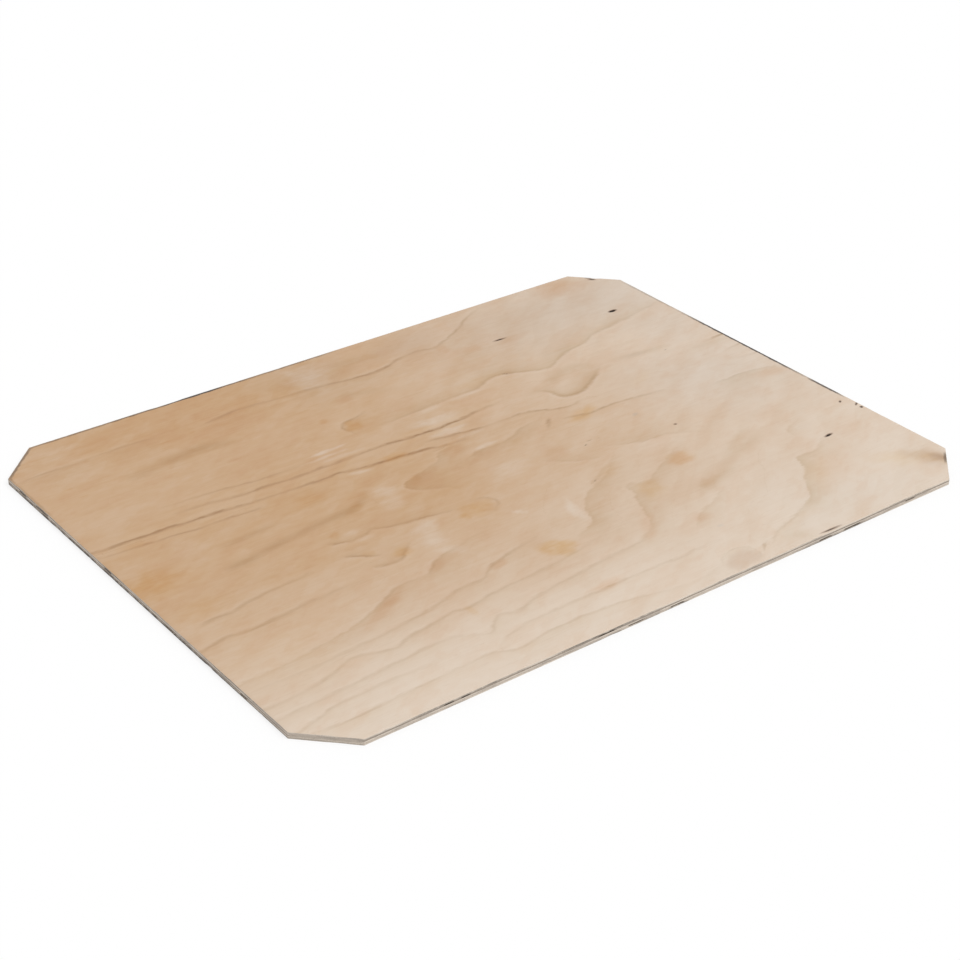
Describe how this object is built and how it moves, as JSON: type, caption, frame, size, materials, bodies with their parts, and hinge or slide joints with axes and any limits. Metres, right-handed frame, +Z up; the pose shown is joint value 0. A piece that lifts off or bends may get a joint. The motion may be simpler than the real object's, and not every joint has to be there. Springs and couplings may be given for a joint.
{
  "type": "plywood sheet",
  "caption": "Thin flat plywood sheet with straight edges and corners cut off at 45 degrees, lying flat; a cover, lid, shelf or base panel.",
  "frame": {"origin": "centre of the underside, where the sheet lies on the floor", "axes": "+X along the length and the face grain, +Y across the width, +Z up through the thickness"},
  "size_m": [0.8, 0.6, 0.0065],
  "materials": {
    "plywood": "sanded veneer, uncoated"
  },
  "bodies": {
    "root": {"plywood_sheet": "plywood"}
  },
  "joints": []
}
